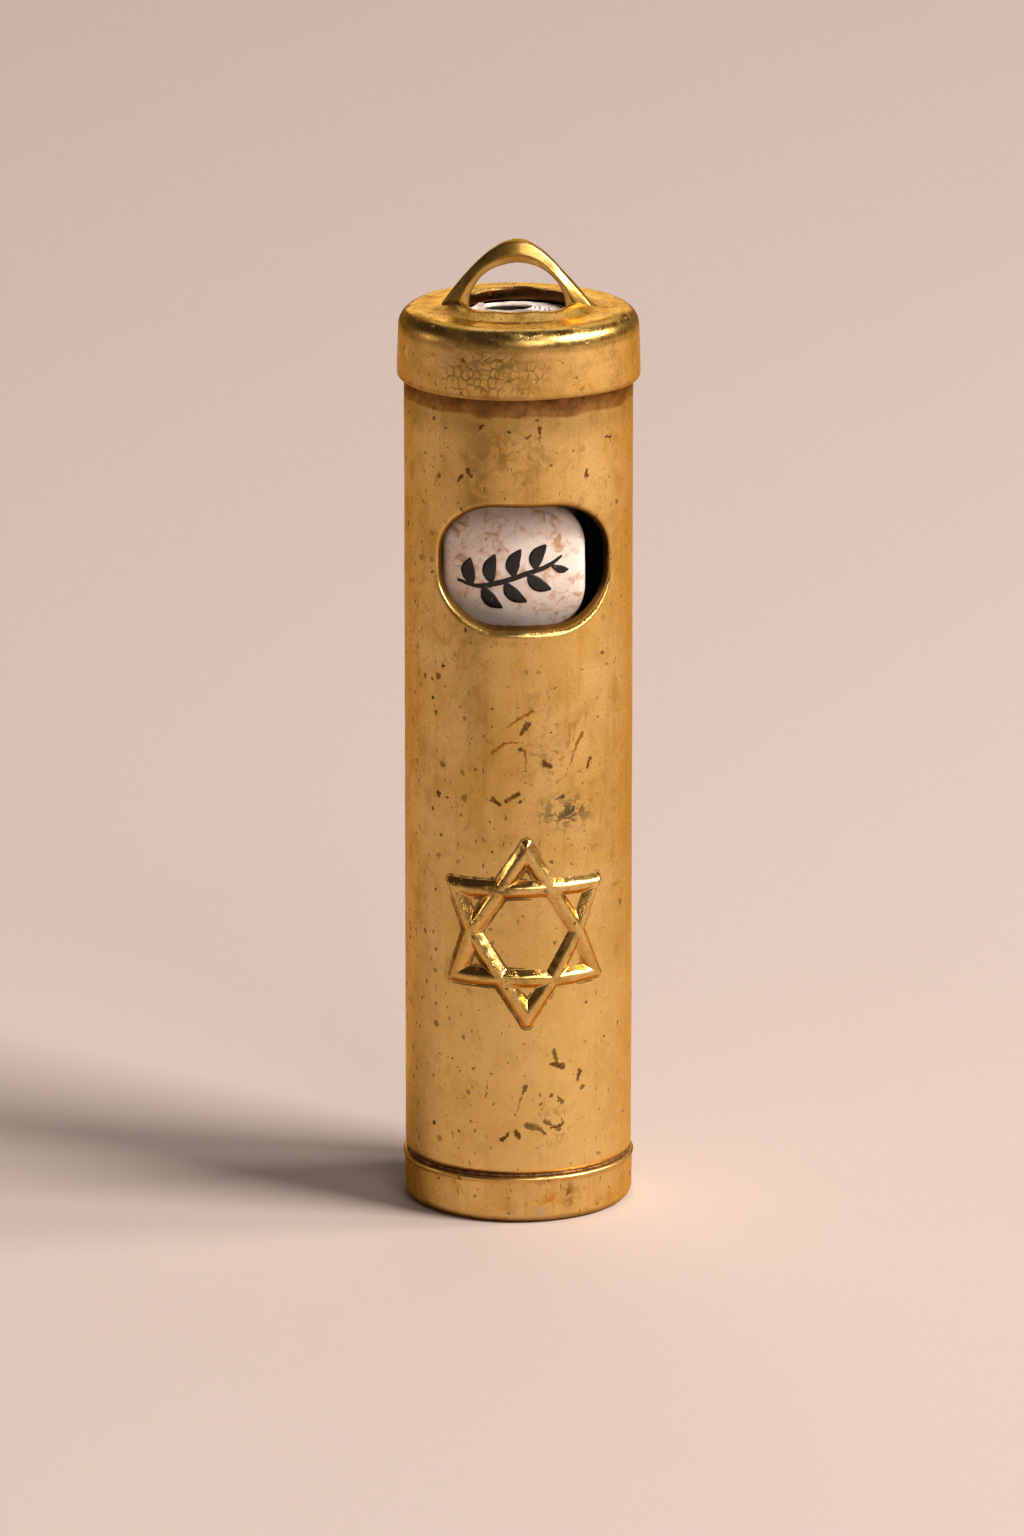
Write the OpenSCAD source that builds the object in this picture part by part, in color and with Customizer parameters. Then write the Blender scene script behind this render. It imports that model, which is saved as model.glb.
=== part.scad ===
// Mezuzah case: a small brass tube with a window, a star on its front, a closed
// foot and a push-on cap with a bail, holding a rolled scroll with a plaque.
// Millimetres, +Z up, front = -Y, origin at the middle of the foot.

/* [Tube] */
// outside diameter of the tube
tube_od = 16; // [14:0.5:20]
// wall of the tube
tube_wall = 0.5; // [0.4:0.1:0.8]
// height of the tube's upper end above the foot
tube_top = 63.1; // [58:0.1:66]
// height of the tube's lower end above the foot
tube_bottom = 3.65; // [3.5:0.05:5]

/* [Window] */
// width of the window, measured straight across
window_w = 11.8; // [9:0.1:12.4]
// height of the window
window_h = 9.0; // [7:0.1:11]
// corner radius of the window
window_r = 3.95; // [2:0.05:4.4]
// height of the window's middle
window_z = 47.47; // [40:0.1:52]
// radial depth of the turned-in edge, from the tube's outside
flange_depth = 1.05; // [0.7:0.05:1.2]
// wall of the turned-in edge
flange_wall = 0.4; // [0.3:0.05:0.6]

/* [Star] */
// middle of the star to a point
star_r = 6.73; // [5:0.05:7.5]
// height of the star's middle
star_z = 21.43; // [16:0.1:30]
// width of a rib's foot
rib_foot = 0.86; // [0.6:0.02:1.2]
// width of a rib's top
rib_top = 0.56; // [0.4:0.02:0.8]
// how far the star stands out of the tube
star_rise = 0.48; // [0.3:0.02:0.6]

/* [Foot] */
// height of the foot cup's rim
foot_h = 3.45; // [3:0.05:4]
// radius of the rolled rim
foot_rim_r = 8.16; // [8.1:0.02:8.4]
// floor of the foot cup
foot_floor = 0.6; // [0.4:0.1:1]
// how far the inner sleeve reaches above the floor
sleeve_h = 6.0; // [4:0.5:9]

/* [Cap] */
// height of the cap's lower edge
cap_z = 59.54; // [57:0.1:61]
// height of the cap's flat top
cap_top = 64.46; // [62:0.1:67]
// radius at the cap's lower edge
cap_r_low = 8.5; // [8.3:0.05:9]
// radius below the shoulder
cap_r_high = 8.4; // [8.2:0.05:8.8]
// running clearance of the cap on the tube, radial
cap_gap = 0.05; // [0.02:0.01:0.1]
// sheet thickness of the cap's top
cap_sheet = 0.5; // [0.4:0.1:0.8]
// shoulder radius
shoulder_r = 1.3; // [0.8:0.1:1.8]
// radius of the hole in the cap's top
hole_r = 3.85; // [3:0.05:4.5]
// rise of the lip round the hole
lip_rise = 0.42; // [0.1:0.02:0.6]
// where the lip starts, from the axis
lip_foot_r = 5.7; // [5:0.1:6.4]

/* [Bail] */
// turn of the bail about the axis, degrees
bail_turn = -8; // [-30:1:30]
// half width of the bail's outline at its feet
bail_half_w = 5.0; // [4:0.1:6]
// rise of the bail's outline above the flat top
bail_rise = 4.7; // [3:0.1:7]
// half width of the opening at the feet
eye_half_w = 3.5; // [3:0.1:4.2]
// rise of the opening above the flat top
eye_rise = 3.07; // [2:0.05:5]
// thickness of the bail, front to back
bail_t = 1.5; // [1:0.1:2]

/* [Inside] */
// outside radius of the black sleeve
liner_r = 7.45; // [7.2:0.05:7.5]
// thickness of the black sleeve
liner_t = 0.28; // [0.15:0.01:0.4]
// radius of the rolled scroll
roll_r = 4.0; // [3:0.1:4.6]
// height of the roll's upper end
roll_top = 63.85; // [58:0.05:63.9]
// radius of the open core
core_r = 1.3; // [0.5:0.1:2]
// turn of the plaque about the axis, degrees
plaque_turn = -7; // [-15:1:15]
// width of the plaque
plaque_w = 9.7; // [8:0.1:10]
// height of the plaque
plaque_h = 9.4; // [8:0.1:10]
// height of the plaque's middle
plaque_z = 46.9; // [45:0.1:49]
// how far the plaque's crown stands in front of the axis
plaque_front = 5.55; // [5:0.05:6]

/* [Hidden] */
tube_r = tube_od / 2;
bore_r = tube_r - tube_wall;
flange_r = tube_r - flange_depth;
cap_in_r = tube_r + cap_gap;
cap_under = cap_top - cap_sheet;
sleeve_wall = 0.4;
star_squeeze = 0.928;      // the bent star's width seen straight on
e = 0.02;

// ---- helpers -------------------------------------------------------------
module pipe(ro, ri, z0, z1) {
    difference() {
        translate([0, 0, z0]) cylinder(h = z1 - z0, r = ro, $fn = 96);
        translate([0, 0, z0 - 1]) cylinder(h = z1 - z0 + 2, r = ri, $fn = 96);
    }
}

// rounded rectangle from squares and circles
module rounded(hw, hh, r) {
    square([2 * hw, 2 * (hh - r)], center = true);
    square([2 * (hw - r), 2 * hh], center = true);
    for (sx = [-1, 1], sy = [-1, 1])
        translate([sx * (hw - r), sy * (hh - r)]) circle(r = r, $fn = 64);
}

// pushes a flat outline (x, z) forward along -Y
module forward(y0, y1, z) {
    translate([0, -y0, z]) rotate([90, 0, 0]) linear_extrude(height = y1 - y0) children();
}

function tri(r, up) = [for (k = [0:2])
    [star_squeeze * r * cos(90 * up + 120 * k), r * sin(90 * up + 120 * k)]];

// two interlaced triangle outlines of the given rib width about the rib's middle
module star_outline(w) {
    mid = star_r - rib_foot;
    for (up = [-1, 1]) difference() {
        polygon(tri(mid + w, up));
        polygon(tri(mid - w, up));
    }
}

function arc(cx, cy, r, a0, a1, n) =
    [for (i = [0:n]) let (a = a0 + (a1 - a0) * i / n) [cx + r * cos(a), cy + r * sin(a)]];

// ---- tube and what is fixed to it -----------------------------------------
module body_tube() color([0.80, 0.60, 0.27]) {
    difference() {
        union() {
            pipe(tube_r, bore_r, tube_bottom, tube_top);
            intersection() {
                pipe(tube_r, flange_r, window_z - window_h, window_z + window_h);
                forward(1, 12, window_z)
                    rounded(window_w / 2 + flange_wall, window_h / 2 + flange_wall,
                            window_r + flange_wall);
            }
        }
        forward(0, 14, window_z) rounded(window_w / 2, window_h / 2, window_r);
    }
}

module star_emblem() color([0.85, 0.65, 0.30]) {
    intersection() {
        pipe(tube_r + star_rise * 0.6, tube_r, star_z - 9, star_z + 9);
        forward(1, 12, star_z) star_outline(rib_foot);
    }
    intersection() {
        pipe(tube_r + star_rise, tube_r + star_rise * 0.6, star_z - 9, star_z + 9);
        forward(1, 12, star_z) star_outline(rib_top);
    }
}

module star_solder() color([0.62, 0.45, 0.20]) {
    intersection() {
        pipe(tube_r + 0.12, tube_r, star_z - 9, star_z + 9);
        forward(1, 12, star_z) difference() {
            star_outline(rib_foot + 0.4);
            star_outline(rib_foot);
        }
    }
}

module bottom_cap() color([0.79, 0.59, 0.27])
    rotate_extrude($fn = 128) polygon(concat(
        [[0, 0]], arc(8.0 - 0.65, 0.65, 0.65, -90, 0, 8),
        [[8.1, foot_h - 0.55], [foot_rim_r - 0.02, foot_h - 0.38]],
        arc(foot_rim_r - 0.16, foot_h - 0.16, 0.16, 0, 90, 5),
        [[bore_r, foot_h], [bore_r, foot_floor], [0, foot_floor]]));

module bottom_sleeve() color([0.55, 0.40, 0.20])
    pipe(bore_r - 0.01, bore_r - sleeve_wall, foot_floor, foot_floor + sleeve_h);

module bottom_solder() color([0.25, 0.15, 0.08])
    pipe(tube_r - 0.08, bore_r, foot_h, tube_bottom);

module liner_sleeve() color([0.05, 0.05, 0.05])
    difference() {
        pipe(liner_r, liner_r - liner_t, foot_floor + sleeve_h + 0.1, tube_top - 0.1);
        forward(0, 14, window_z)
            rounded(window_w / 2 + flange_wall + 0.1, window_h / 2 + flange_wall + 0.1,
                    window_r + flange_wall + 0.1);
    }

// ---- the push-on cap -------------------------------------------------------
// the lip's height at a distance from the axis, a smooth ramp
function lip(r) = let (t = min(1, max(0, (lip_foot_r - r) / (lip_foot_r - hole_r - 0.25))))
    lip_rise * (3 * t * t - 2 * t * t * t);

module top_cap() color([0.82, 0.62, 0.29])
    rotate_extrude($fn = 128) polygon(concat(
        [[cap_in_r, cap_z + 0.12], [cap_in_r + 0.12, cap_z]],
        arc(cap_r_low - 0.24, cap_z + 0.24, 0.24, -90, 0, 6),
        arc(cap_r_high - shoulder_r, cap_top - shoulder_r, shoulder_r, 0, 90, 14),
        [for (i = [0:10]) let (r = lip_foot_r + (hole_r + 0.25 - lip_foot_r) * i / 10)
            [r, cap_top + lip(r)]],
        [[hole_r + 0.08, cap_top + lip_rise - 0.06], [hole_r, cap_top + lip_rise - 0.22],
         [hole_r, cap_under + 0.1], [hole_r + 0.1, cap_under]],
        arc(cap_in_r - 0.5, cap_under - 0.5, 0.5, 90, 0, 6)));

// closed arch outline point: half width a, rise b, exponent p, angle t
function arch(a, b, p, t) = [a * sign(cos(t)) * pow(abs(cos(t)), 2 / p), b * pow(sin(t), 2 / p)];

bail_n = 36;
// one six-sided section of the bail at angle t, from the inner to the outer outline
function section(t) = let (
    o = arch(bail_half_w, bail_rise, 1.42, t),
    i = arch(eye_half_w, eye_rise, 2.15, t),
    h = bail_t / 2,
    m = (o + i) / 2,
    q = (o * 0.86 + i * 0.14),
    s = (o * 0.14 + i * 0.86))
    [[o[0], -h * 0.5, o[1]], [m[0], -h, m[1]], [s[0], -h * 0.66, s[1]], [i[0], 0, i[1]],
     [s[0], h * 0.66, s[1]], [m[0], h, m[1]], [o[0], h * 0.5, o[1]]];

module bail_solid() {
    k = 7;
    sink = 0.3;
    pts = concat(
        [for (p = section(0)) [p[0], p[1], -sink]],
        [for (j = [0:bail_n]) for (p = section(180 * j / bail_n)) p],
        [for (p = section(180)) [p[0], p[1], -sink]]);
    rings = bail_n + 3;
    faces = concat(
        [[for (a = [0:k - 1]) a]],
        [[for (a = [k - 1:-1:0]) (rings - 1) * k + a]],
        [for (j = [0:rings - 2]) for (a = [0:k - 1]) let (b = (a + 1) % k)
            [j * k + a, (j + 1) * k + a, (j + 1) * k + b, j * k + b]]);
    polyhedron(points = pts, faces = faces, convexity = 6);
}

module bail() color([0.86, 0.65, 0.30])
    rotate([0, 0, bail_turn]) translate([0, 0, cap_top]) bail_solid();

// low mounds round the feet, fused to the cap and to the bail
module bail_solder() color([0.70, 0.50, 0.22])
    difference() {
        rotate([0, 0, bail_turn]) for (s = [-1, 1])
            translate([s * 4.55, 0, cap_top - 0.05]) cylinder(h = 0.62, r1 = 1.15, r2 = 0.7, $fn = 48);
        translate([0, 0, cap_top - 1]) cylinder(h = 3, r = hole_r + 0.02, $fn = 96);
    }

// ---- the scroll ------------------------------------------------------------
module scroll_roll() color([0.80, 0.68, 0.50])
    difference() {
        translate([0, 0, foot_floor + 0.05])
            cylinder(h = roll_top - foot_floor - 0.05, r = roll_r, $fn = 96);
        translate([-0.6, 2.35, 0]) cylinder(h = roll_top + 1, r = core_r, $fn = 48);
    }

module window_plaque() color([0.93, 0.90, 0.84])
    difference() {
        rotate([0, 0, plaque_turn]) intersection() {
            forward(3.6, 7, plaque_z) rounded(plaque_w / 2, plaque_h / 2, 2.8);
            translate([0, 12.9 - plaque_front, plaque_z]) sphere(r = 12.9, $fn = 96);
        }
        translate([0, 0, plaque_z - 10]) cylinder(h = 20, r = roll_r, $fn = 96);
    }

body_tube();
star_emblem();
star_solder();
bottom_cap();
bottom_sleeve();
bottom_solder();
liner_sleeve();
top_cap();
bail();
bail_solder();
scroll_roll();
window_plaque();
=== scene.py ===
import math
import random

import bmesh
import bpy
import numpy as np
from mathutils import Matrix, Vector, noise


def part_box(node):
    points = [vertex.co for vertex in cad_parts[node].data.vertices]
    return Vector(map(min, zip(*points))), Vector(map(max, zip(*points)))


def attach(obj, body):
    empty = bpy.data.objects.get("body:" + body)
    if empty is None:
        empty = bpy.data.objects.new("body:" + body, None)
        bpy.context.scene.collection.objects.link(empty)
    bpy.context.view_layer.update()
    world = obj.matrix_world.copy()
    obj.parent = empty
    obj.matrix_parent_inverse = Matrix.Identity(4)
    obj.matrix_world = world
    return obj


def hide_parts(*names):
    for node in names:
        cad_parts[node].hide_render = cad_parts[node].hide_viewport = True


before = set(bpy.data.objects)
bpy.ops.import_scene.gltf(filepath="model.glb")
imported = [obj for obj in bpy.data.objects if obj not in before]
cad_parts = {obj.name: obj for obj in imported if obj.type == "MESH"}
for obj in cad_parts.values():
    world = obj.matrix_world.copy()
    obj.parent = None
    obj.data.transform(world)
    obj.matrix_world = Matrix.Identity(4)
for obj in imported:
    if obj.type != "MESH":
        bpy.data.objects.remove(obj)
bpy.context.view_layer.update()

MM = 0.001


def span(node):
    """lowest and highest corner of a CAD node, in millimetres"""
    lo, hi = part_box(node)
    return np.array(lo) / MM, np.array(hi) / MM


# ---- sizes worked out from the frame, in millimetres ----
tube_lo, tube_hi = span("body_tube")
foot_hi = span("bottom_cap")[1]
cap_lo, cap_hi = span("top_cap")
bail_hi = span("bail")[1]
star_lo, star_hi = span("star_emblem")
roll_lo, roll_hi = span("scroll_roll")
liner_lo, liner_hi = span("liner_sleeve")
plaque_lo, plaque_hi = span("window_plaque")

TUBE_R = (tube_hi[0] - tube_lo[0]) / 2
WALL = 0.5
FLANGE_R = TUBE_R - 1.05        # radius that the window's edge is turned in to
LINER_WALL = 0.28
CAP_FIT = 0.05                  # radial play of the cap on the tube
LIP_RISE = 0.42                 # how far the lip round the hole stands above the cap's top
LIP_FOOT_R = 5.75
CAP_TOP = cap_hi[2] - LIP_RISE
CAP_R = (cap_hi[0] - cap_lo[0]) / 2
HOLE_R = 3.85
ROLL_R = (roll_hi[0] - roll_lo[0]) / 2
LINER_R = (liner_hi[0] - liner_lo[0]) / 2
WIN_HW, WIN_HH, WIN_R = 5.9, 4.5, 3.95      # half width, half height and corner radius of the window
WIN_Z = 47.47
LEAN = 0.28                     # how far the turned-in edge leans over the opening at its foot
STAR_Z = (star_lo[2] + star_hi[2]) / 2
PLAQUE_Z = (plaque_lo[2] + plaque_hi[2]) / 2
PLAQUE_FRONT = -plaque_lo[1]
PLAQUE_TURN = math.radians(-7.0)
BAIL_TURN = math.radians(-8.0)


# ---- mesh helpers ----
def make(name, verts, faces, attr=None):
    """a mesh object from points in millimetres"""
    me = bpy.data.meshes.new(name)
    me.from_pydata([tuple(v) for v in (np.asarray(verts, float) * MM)], [], [tuple(f) for f in faces])
    me.validate()
    bm = bmesh.new()
    bm.from_mesh(me)
    bmesh.ops.recalc_face_normals(bm, faces=bm.faces)
    bm.to_mesh(me)
    bm.free()
    me.update()
    me.polygons.foreach_set("use_smooth", [True] * len(me.polygons))
    for key, values in (attr or {}).items():
        a = me.attributes.new(key, "FLOAT", "POINT")
        a.data.foreach_set("value", np.asarray(values, np.float32))
    ob = bpy.data.objects.new(name, me)
    bpy.context.scene.collection.objects.link(ob)
    return ob


def wob(x, y, z, scale, seed=0.0):
    """smooth noise from -1 to 1 at a point in millimetres"""
    return noise.noise(Vector((x / scale + seed, y / scale - seed, z / scale + 0.37 * seed)))


def smooth(t):
    """0 to 1, with soft ends"""
    t = np.clip(t, 0.0, 1.0)
    return t * t * (3 - 2 * t)


def strip(a, b):
    """quads between two closed rows of vertex numbers"""
    n = len(a)
    return [(a[i], a[(i + 1) % n], b[(i + 1) % n], b[i]) for i in range(n)]


def skin(rows):
    """quads between each closed row and the next"""
    return [f for a, b in zip(rows, rows[1:]) for f in strip(a, b)]


def ribbon(sections):
    """a closed strip; each section runs out along one face and back along the other"""
    faces = skin(sections)
    for s in (sections[0], sections[-1]):
        faces += [(s[k], s[k + 1], s[-k - 2], s[-k - 1]) for k in range(len(s) // 2 - 1)]
    return faces


def turned(x, y, a):
    return x * math.cos(a) - y * math.sin(a), x * math.sin(a) + y * math.cos(a)


def lathe(name, profile, segs, bump, scale, seed, wave):
    """turns a closed profile of (r, z) points round the axis; points with r = 0 become poles"""
    verts, rows = [], []
    for r, z in profile:
        if r < 1e-6:
            rows.append([len(verts)] * segs)
            verts.append((0.0, 0.0, z))
            continue
        row = []
        for i in range(segs):
            a = 2 * math.pi * i / segs
            x, y = r * math.sin(a), -r * math.cos(a)
            dr = bump * wob(x, y, z, scale, seed)
            k = (r + dr) / r
            row.append(len(verts))
            verts.append((x * k, y * k, z + wave(a, r, z)))
        rows.append(row)
    faces = [list(dict.fromkeys(f)) for f in skin(rows)]
    faces = [f for f in faces if len(f) > 2]
    if profile[0][0] > 1e-6:
        faces += strip(rows[-1], rows[0])
    return make(name, verts, faces)


def arc(cx, cz, r, a0, a1, n):
    """points on an arc, its angles in degrees"""
    turns = [math.radians(a0 + (a1 - a0) * i / n) for i in range(n + 1)]
    return [(cx + r * math.cos(a), cz + r * math.sin(a)) for a in turns]


def fine(profile, step):
    """adds points along the long straights of a profile"""
    out = [profile[0]]
    for p, q in zip(profile, profile[1:]):
        n = max(1, int(math.hypot(q[0] - p[0], q[1] - p[1]) / step))
        out += [(p[0] + (q[0] - p[0]) * i / n, p[1] + (q[1] - p[1]) * i / n) for i in range(1, n + 1)]
    return out


# ---- the rounded window outline, as points and outward normals ----
def outline_samples(hw, hh, r, n=2400):
    """places and outward directions along a rounded rectangle"""
    pts, nrm = [], []
    x, z = hw - r, hh - r
    corners = [(x, z, 0), (-x, z, 90), (-x, -z, 180), (x, -z, 270)]
    for k, (cx, cz, a0) in enumerate(corners):
        for i in range(n // 4):
            a = math.radians(a0 + 90.0 * i / (n // 4))
            pts.append((cx + r * math.cos(a), cz + r * math.sin(a)))
            nrm.append((math.cos(a), math.sin(a)))
        next_x, next_z, next_a = corners[(k + 1) % 4]
        a = math.radians(next_a)
        p, q = np.array(pts[-1]), np.array((next_x + r * math.cos(a), next_z + r * math.sin(a)))
        for i in range(1, 60):
            pts.append(tuple(p + (q - p) * i / 60))
            nrm.append((math.cos(a), math.sin(a)))
    return np.array(pts), np.array(nrm)


def looked_up(table, idx):
    """rows of a closed table at places between its rows"""
    steps = np.arange(len(table) + 1)
    return np.stack([np.interp(idx, steps, np.append(table[:, c], table[0, c])) for c in (0, 1)], -1)


def windowed_pipe(name, r_out, r_in, z0, z1, edge, flange_r, lift, segs=192, rows=160, dent=0.0):
    """a pipe with the window cut in its wall. edge is how far the cut stands off the window's outline, and
    flange_r, if given, is the radius its edge is turned in to; lift is the radius of its rounded arris"""
    thick = 0.42                # of the turned-in edge
    half_c = segs // 6
    zs = np.linspace(z0, z1, rows + 1)
    margin = 1.9                # between the window and the regular grid
    j0 = int(np.searchsorted(zs, WIN_Z - WIN_HH - margin))
    j1 = int(np.searchsorted(zs, WIN_Z + WIN_HH + margin))
    i0, i1 = segs // 2 - half_c, segs // 2 + half_c
    theta = -math.pi + 2 * math.pi * np.arange(segs) / segs
    pts, nrm = outline_samples(WIN_HW, WIN_HH, WIN_R)
    verts, faces = [], []

    def put(th, z, r):
        if dent and r > TUBE_R - 0.2:
            x, y = r * math.sin(th), -r * math.cos(th)
            r += dent * (wob(x, y, z * 0.6, 7.0, 3.0) + 0.45 * wob(x, y, z, 2.6, 7.0))
        verts.append((r * math.sin(th), -r * math.cos(th), z))
        return len(verts) - 1

    def side(r, off):
        """one wall of the pipe at radius r, its hole standing off the outline by off"""
        grid = {}
        for j in range(rows + 1):
            for i in range(segs):
                if i0 < i < i1 and j0 < j < j1:
                    continue
                rr = r
                if j in (0, rows):
                    rr += -0.07 if r == r_out else 0.03
                grid[i, j] = put(theta[i], zs[j], rr)
        quads = []
        for j in range(rows):
            for i in range(segs):
                if i0 <= i < i1 and j0 <= j < j1:
                    continue
                k = (i + 1) % segs
                quads.append((grid[i, j], grid[k, j], grid[k, j + 1], grid[i, j + 1]))
        loop = [(i, j0) for i in range(i0, i1)] + [(i1, j) for j in range(j0, j1)]
        loop += [(i, j1) for i in range(i1, i0, -1)] + [(i0, j) for j in range(j1, j0, -1)]
        bt = np.array([theta[i] for i, j in loop])
        bz = np.array([zs[j] for i, j in loop])
        o = pts + nrm * off
        ot, oz = np.arcsin(np.clip(o[:, 0] / r, -1, 1)), o[:, 1] + WIN_Z
        oa = np.unwrap(np.arctan2(oz - WIN_Z, ot * r))
        ba = np.arctan2(bz - WIN_Z, bt * r)
        ba = oa[0] + np.mod(ba - oa[0], 2 * math.pi)
        idx = np.interp(ba, np.append(oa, oa[0] + 2 * math.pi), np.arange(len(oa) + 1))
        pp, nn = looked_up(pts, idx), looked_up(nrm, idx)
        q = pp + nn * off
        ht, hz = np.arcsin(q[:, 0] / r), q[:, 1] + WIN_Z
        rings, steps = [], 11
        for k in range(steps):
            w = (k / steps) ** 1.25
            rings.append([put(t, z, r) for t, z in zip(ht + (bt - ht) * w, hz + (bz - hz) * w)])
        rings.append([grid[c] for c in loop])
        quads += skin(rings)
        ends = [[grid[i, 0] for i in range(segs)], [grid[i, rows] for i in range(segs)]]
        return quads, rings[0], pp, nn, ends

    def ring(pp, nn, d, r):
        q = pp + nn * d
        return [put(math.asin(q[m, 0] / r), q[m, 1] + WIN_Z, r) for m in range(len(pp))]

    outer, hole_o, pp, nn, ends_o = side(r_out, edge + lift)
    inner, hole_i, pi, ni, ends_i = side(r_in, edge + (thick if flange_r else 0.0))
    faces += outer + [f[::-1] for f in inner]
    chain = [hole_o]
    steep = math.radians(68.0 if flange_r else 90.0)
    for k in range(1, 8):
        a = steep * k / 7
        chain.append(ring(pp, nn, edge + lift * (1 - math.sin(a)), r_out - lift * (1 - math.cos(a))))
    if flange_r:
        d0, r0 = edge + lift * (1 - math.sin(steep)), r_out - lift * (1 - math.cos(steep))
        for k in range(1, 7):
            chain.append(ring(pp, nn, d0 + (edge - LEAN - d0) * k / 6, r0 + (flange_r + 0.1 - r0) * k / 6))
        chain.append(ring(pp, nn, edge - LEAN + 0.08, flange_r))
        chain.append(ring(pp, nn, edge + 0.32, flange_r))
        chain.append(ring(pp, nn, edge + thick, flange_r + 0.1))
        chain.append(ring(pi, ni, edge + thick, r_in - 0.08))
    chain.append(hole_i)
    faces += [f[::-1] for f in skin(chain)]
    faces += strip(ends_i[0], ends_o[0])
    faces += strip(ends_o[1], ends_i[1])
    return make(name, verts, faces)


# ---- brass tube ----
tube = windowed_pipe("brass_tube", TUBE_R, TUBE_R - WALL, tube_lo[2], tube_hi[2], 0.0, FLANGE_R, 0.42,
                     dent=0.022)
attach(tube, "case")
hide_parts("body_tube")

liner = windowed_pipe("black_liner", LINER_R, LINER_R - LINER_WALL, liner_lo[2], liner_hi[2], 0.5, None, 0.05,
                      segs=96, rows=80)
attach(liner, "case")
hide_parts("liner_sleeve")

# ---- foot cup ----
foot_h = foot_hi[2]
rim_r = foot_hi[0]
bore_r = TUBE_R - WALL
foot_profile = fine(
    [(0.0, 0.0), (3.0, 0.0), (6.6, 0.0)] + arc(rim_r - 0.13 - 0.68, 0.68, 0.68, -80, 4, 10)
    + [(rim_r - 0.09, foot_h - 0.62)]
    + arc(rim_r - 0.2, foot_h - 0.27, 0.2, -52, 82, 9)
    + [(bore_r + 0.12, foot_h - 0.02), (bore_r, foot_h - 0.12), (bore_r, 0.65), (bore_r - 0.2, 0.6),
       (0.0, 0.6)], 0.3)


def foot_wave(a, _r, z):
    """the cup's rim is a little uneven"""
    return 0.035 * math.sin(2 * a + 0.8) * float(smooth((z - 1.0) / 2.0))


foot = lathe("foot_cup", foot_profile, 224, bump=0.03, scale=5.0, seed=8.0, wave=foot_wave)
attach(foot, "case")
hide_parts("bottom_cap")

# ---- the dark joint line above the foot ----
seam_r = TUBE_R - 0.06
seam_in = TUBE_R - WALL + 0.02
seam_profile = [(seam_in, foot_h - 0.1), (seam_r - 0.03, foot_h - 0.1), (seam_r + 0.02, foot_h + 0.04),
                (seam_r - 0.03, foot_h + 0.15), (seam_in, foot_h + 0.2)]
seam = lathe("foot_seam", seam_profile, 256, bump=0.03, scale=1.6, seed=21.0,
             wave=lambda a, r, z: 0.02 * math.sin(5 * a) * math.sin(3 * a + 1))
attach(seam, "case")
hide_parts("bottom_solder")

# ---- push-on cap ----
cap_low = cap_lo[2]
inner_r = TUBE_R + CAP_FIT
shoulder = 1.3
high_r = CAP_R - 0.1


def lip(r):
    """how high the lip stands at a distance from the axis"""
    return LIP_RISE * float(smooth((LIP_FOOT_R - r) / (LIP_FOOT_R - HOLE_R - 0.3)))


cap_profile = [(inner_r, cap_low + 0.14), (inner_r + 0.08, cap_low + 0.03)]
cap_profile += arc(CAP_R - 0.25, cap_low + 0.25, 0.25, -90, 0, 8)
cap_profile += [(CAP_R - 0.01, cap_low + 1.4), (CAP_R - 0.05, cap_low + 2.6)]
cap_profile += arc(high_r - shoulder, CAP_TOP - shoulder, shoulder, 2, 88, 22)
cap_profile += [(r, CAP_TOP + lip(r) - 0.03 * math.sin(math.pi * (r - 5.6) / 1.6) * (r > 5.6))
                for r in np.linspace(high_r - shoulder - 0.2, HOLE_R + 0.3, 22)]
lip_top = CAP_TOP + LIP_RISE
cap_profile += [(HOLE_R + 0.13, lip_top - 0.015), (HOLE_R + 0.03, lip_top - 0.1), (HOLE_R, lip_top - 0.24),
                (HOLE_R, CAP_TOP - 0.3), (HOLE_R + 0.08, CAP_TOP - 0.46)]
cap_profile += arc(inner_r - 0.5, CAP_TOP - 1.0, 0.5, 88, 2, 6)
cap_profile = fine(cap_profile + [(inner_r, cap_low + 0.14)], 0.33)[:-1]


def cap_wave(a, r, z):
    """the cap's lower rim, top and lip are a little uneven"""
    low = 1 - float(smooth((z - cap_low) / 1.2))
    lipw = float(smooth((5.2 - r) / 1.2)) * float(smooth((z - CAP_TOP) / 0.3))
    top = float(smooth((z - CAP_TOP + 0.3) / 0.3))
    on_lip = 0.05 * math.sin(4 * a + 2.0) + 0.03 * math.sin(9 * a)
    return 0.05 * low * math.sin(3 * a + 0.6) + lipw * on_lip + 0.03 * top * math.sin(2 * a + 0.5)


cap = lathe("push_on_cap", cap_profile, 256, bump=0.035, scale=4.2, seed=13.0, wave=cap_wave)
# the cap's uneven bore is kept clear of the tube
for v in cap.data.vertices:
    r = math.hypot(v.co.x, v.co.y) / MM
    if r < inner_r + 0.02 and v.co.z / MM < CAP_TOP - 0.6:
        k = max(1.0, (inner_r - 0.02) / r)
        v.co.x *= k
        v.co.y *= k
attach(cap, "cap")
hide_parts("top_cap")


# ---- bail: a swept arch with a faceted, worn section ----
def curve_through(points, n):
    """n points on a smooth curve through the given ones"""
    p = np.array(points, float)
    p = np.vstack([2 * p[0] - p[1], p, 2 * p[-1] - p[-2]])
    just_under = len(points) - 1 - 1e-9
    out = []
    for t in np.linspace(0, just_under, n):
        k = int(t)
        u = t - k
        a, b, c, d = p[k], p[k + 1], p[k + 2], p[k + 3]
        square, cube = 2 * a - 5 * b + 4 * c - d, 3 * b - a - 3 * c + d
        out.append(0.5 * (2 * b + (c - a) * u + square * u * u + cube * u ** 3))
    return np.array(out)


RISE = bail_hi[2] - CAP_TOP
SINK = 0.4                      # how far the feet go into the cap
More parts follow.
